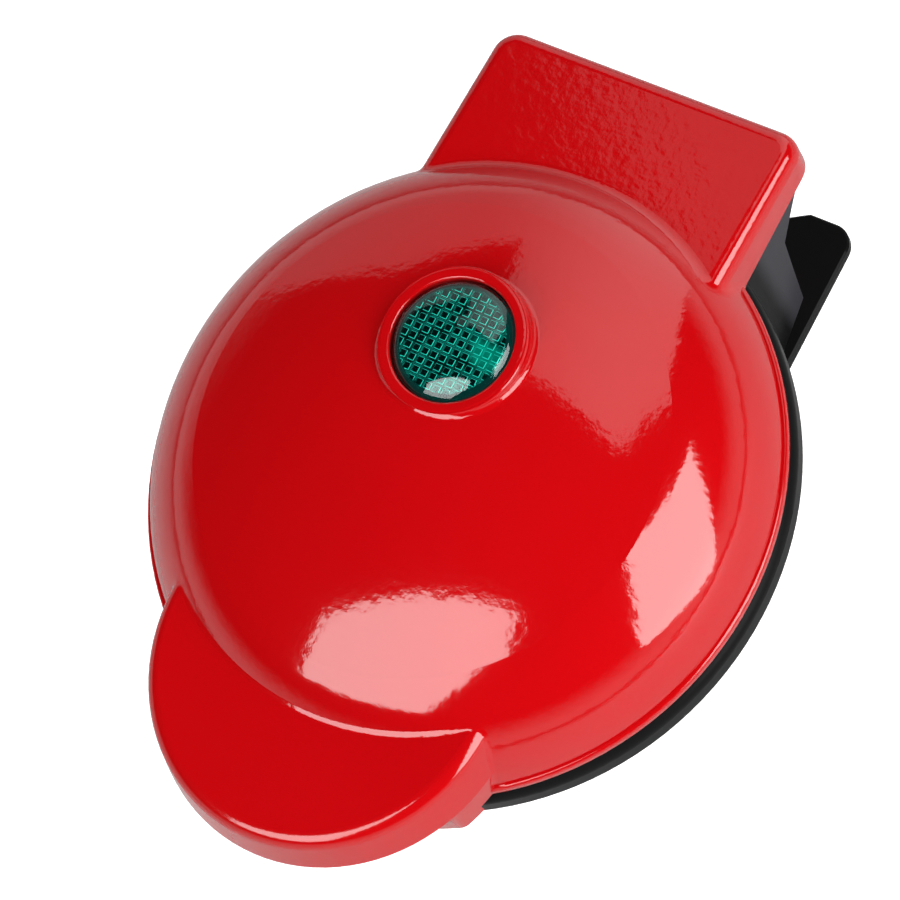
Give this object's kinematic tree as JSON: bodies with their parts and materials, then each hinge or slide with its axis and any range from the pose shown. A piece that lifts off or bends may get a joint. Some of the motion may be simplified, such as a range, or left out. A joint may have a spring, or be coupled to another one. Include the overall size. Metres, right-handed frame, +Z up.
{
  "type": "bubble waffle maker",
  "caption": "Small round countertop bubble waffle maker with a glossy domed lid, round front handle, green indicator lens and a rear hinge; inside, two cast plates with round pockets.",
  "frame": {"origin": "on the table, under the middle of the object's length and width", "axes": "+Z up; +Y from the front handle to the rear hinge, along the length; X along the hinge"},
  "size_m": [0.1268, 0.1626, 0.0751],
  "materials": {
    "red_plastic": "glossy",
    "green_lens": "clear prismatic",
    "lamp_glass": "clear",
    "black_plastic": "satin",
    "black_gloss": "glossy",
    "soft_black": "matte",
    "foot_rubber": "matte",
    "pan_coat": "dark non-stick coating",
    "heater_steel": "oxidised",
    "steel": "plain",
    "sheet_metal": "zinc-plated sheet",
    "ceramic": "unglazed, white",
    "dark_cap": "satin",
    "white_plastic": "satin",
    "brass_screw": "plain",
    "lead_sleeve": "woven sleeve"
  },
  "bodies": {
    "base": {"base_shell": "black_plastic", "base_inner_ring": "black_plastic", "base_ring_screws": "steel", "lower_bubble_plate": "pan_coat", "lower_heater": "heater_steel", "lower_heater_seals": "ceramic", "lower_heater_tabs": "steel", "lower_heater_clips": "sheet_metal", "lower_clip_screws": "steel", "lower_heat_shield": "sheet_metal", "lower_shield_screws": "steel", "thermostat": "dark_cap", "thermostat_bracket": "sheet_metal", "thermostat_screws": "steel", "terminal_block": "white_plastic", "terminal_screws": "brass_screw", "base_leads": "lead_sleeve", "bottom_cover": "black_gloss", "cover_screws": "steel", "rubber_feet": "foot_rubber", "hinge_pin": "steel", "inlet_gland": "soft_black"},
    "lid": {"lid_shell": "red_plastic", "lamp_lens": "green_lens", "lamp_holder": "black_plastic", "neon_lamp": "lamp_glass", "lid_inner_ring": "black_plastic", "lid_ring_screws": "steel", "upper_bubble_plate": "pan_coat", "upper_heater": "heater_steel", "upper_heater_seals": "ceramic", "upper_heater_tabs": "steel", "upper_heater_clips": "sheet_metal", "upper_clip_screws": "steel", "upper_heat_shield": "sheet_metal", "upper_shield_screws": "steel", "lid_hinge_bracket": "black_plastic", "bracket_screws": "steel", "thermal_fuse": "steel", "fuse_clip": "sheet_metal", "fuse_screws": "steel", "lid_leads": "lead_sleeve", "lead_splices": "white_plastic"}
  },
  "joints": [
    {"name": "lid_hinge", "type": "hinge", "parent": "base", "child": "lid", "pos_m": [0, 0.07315, 0.0395], "axis": [-1, 0, 0], "range_deg": [0, 100]}
  ]
}
